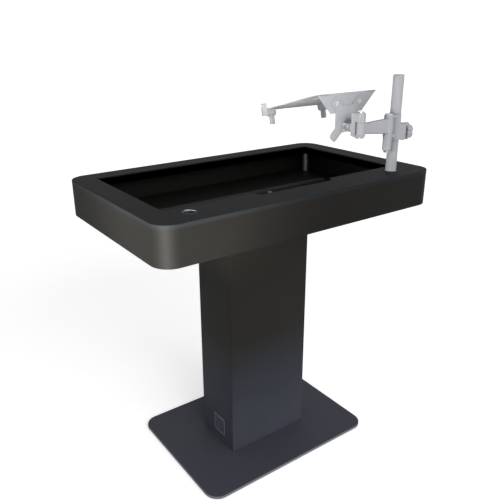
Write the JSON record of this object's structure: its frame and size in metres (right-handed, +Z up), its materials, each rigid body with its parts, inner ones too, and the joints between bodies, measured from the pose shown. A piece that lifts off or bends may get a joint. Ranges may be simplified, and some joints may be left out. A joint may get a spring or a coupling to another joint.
{
  "type": "dj booth",
  "caption": "Stand-up DJ booth: round-cornered table with a sunken controller well and pole sockets on a box column and flat base, with a jointed pole arm carrying a laptop tray.",
  "frame": {"origin": "on the floor under the middle of the table", "axes": "+Z up, +X along the table to the viewer's right in the picture, where the laptop arm stands, +Y from the audience's side towards the player's side"},
  "size_m": [1.042, 0.642, 1.317],
  "materials": {
    "black_powder_coat": "satin",
    "zinc_plated_steel": "satin",
    "bare_steel_tube": "satin",
    "black_rubber": "matte",
    "blank_plate_aluminium": "satin",
    "black_moulded_knob": "matte",
    "grey_arm_paint": "satin",
    "grey_moulded_plastic": "matte",
    "arm_pin_steel": "satin",
    "grey_rubber": "matte"
  },
  "bodies": {
    "booth": {"base_plate": "black_powder_coat", "base_bolts": "zinc_plated_steel", "foot_front_left": "black_rubber", "foot_front_right": "black_rubber", "foot_rear_left": "black_rubber", "foot_rear_right": "black_rubber", "column_shell": "black_powder_coat", "column_rear_cover": "black_powder_coat", "rear_cover_screws": "zinc_plated_steel", "column_foot_flange": "zinc_plated_steel", "column_head_flange": "zinc_plated_steel", "cable_grommet": "black_rubber", "name_plate": "blank_plate_aluminium", "name_plate_rivets": "blank_plate_aluminium", "apron_band": "black_powder_coat", "top_frame": "black_powder_coat", "well_floor": "black_powder_coat", "post_front_left": "zinc_plated_steel", "post_front_right": "zinc_plated_steel", "post_rear_left": "zinc_plated_steel", "post_rear_right": "zinc_plated_steel", "corner_bolts": "zinc_plated_steel", "head_bolts": "zinc_plated_steel", "port_grommet": "black_rubber", "rest_rail_front": "black_powder_coat", "rest_rail_rear": "black_powder_coat", "rest_strip_front": "black_rubber", "rest_strip_rear": "black_rubber", "socket_tube_left": "bare_steel_tube", "socket_tube_right": "bare_steel_tube", "socket_ring_left": "bare_steel_tube", "socket_ring_right": "bare_steel_tube"},
    "left_socket_screw": {"socket_screw_left": "black_moulded_knob"},
    "right_socket_screw": {"socket_screw_right": "black_moulded_knob"},
    "pole": {"pole": "grey_arm_paint", "pole_cap": "grey_moulded_plastic"},
    "collar": {"collar": "grey_arm_paint", "swing_pin": "arm_pin_steel", "tension_barrel": "grey_arm_paint", "tension_nut": "arm_pin_steel"},
    "collar_knob": {"collar_knob": "grey_moulded_plastic"},
    "link": {"arm_link": "grey_arm_paint"},
    "head": {"head_knuckle": "grey_arm_paint", "pan_pin": "arm_pin_steel"},
    "tray": {"head_plate": "grey_arm_paint", "tilt_pin": "arm_pin_steel", "plate_bolts": "arm_pin_steel", "tray_bracket": "grey_arm_paint", "tray": "grey_arm_paint", "tray_screws": "arm_pin_steel", "tray_pad_left": "grey_rubber", "tray_pad_right": "grey_rubber"},
    "grip_near_player_left": {"grip_near_player_left": "grey_moulded_plastic"},
    "thumbscrew_near_player_left": {"thumbscrew_near_player_left": "grey_moulded_plastic"},
    "grip_near_player_right": {"grip_near_player_right": "grey_moulded_plastic"},
    "thumbscrew_near_player_right": {"thumbscrew_near_player_right": "grey_moulded_plastic"}
  },
  "joints": [
    {"name": "pole_turn", "type": "hinge", "parent": "booth", "child": "pole", "pos_m": [0.39, -0.247, 1], "axis": [0, 0, 1], "continuous": true},
    {"name": "arm_height", "type": "slide", "parent": "pole", "child": "collar", "axis": [0, 0, 1], "range_m": [-0.04, 0.11]},
    {"name": "collar_knob_turn", "type": "hinge", "parent": "collar", "child": "collar_knob", "pos_m": [0.4408, -0.247, 1.135], "axis": [1, 0, 0], "continuous": true},
    {"name": "arm_swing", "type": "hinge", "parent": "collar", "child": "link", "pos_m": [0.34908, -0.25645, 1.1615], "axis": [0, 0, 1], "range_deg": [-25, 100]},
    {"name": "head_pan", "type": "hinge", "parent": "link", "child": "head", "pos_m": [0.24007, -0.24171, 1.1615], "axis": [0, 0, 1], "range_deg": [-5, 90]},
    {"name": "head_tilt", "type": "hinge", "parent": "head", "child": "tray", "pos_m": [0.24007, -0.19771, 1.1615], "axis": [1, 0, 0], "range_deg": [-20, 10]},
    {"name": "left_socket_screw_turn", "type": "hinge", "parent": "booth", "child": "left_socket_screw", "pos_m": [-0.39, -0.2098, 0.948], "axis": [0, 1, 0], "continuous": true},
    {"name": "right_socket_screw_turn", "type": "hinge", "parent": "booth", "child": "right_socket_screw", "pos_m": [0.39, -0.2098, 0.948], "axis": [0, 1, 0], "continuous": true},
    {"name": "grip_near_player_left_slide", "type": "slide", "parent": "tray", "child": "grip_near_player_left", "axis": [-1, 0, 0], "range_m": [0, 0.015]},
    {"name": "thumbscrew_near_player_left_turn", "type": "hinge", "parent": "grip_near_player_left", "child": "thumbscrew_near_player_left", "pos_m": [0.12157, 0.05763, 1.17627], "axis": [0, 0.2504, 0.9681], "continuous": true},
    {"name": "grip_near_player_right_slide", "type": "slide", "parent": "tray", "child": "grip_near_player_right", "axis": [1, 0, 0], "range_m": [0, 0.015]},
    {"name": "thumbscrew_near_player_right_turn", "type": "hinge", "parent": "grip_near_player_right", "child": "thumbscrew_near_player_right", "pos_m": [0.35857, 0.05763, 1.17627], "axis": [0, 0.2504, 0.9681], "continuous": true}
  ]
}
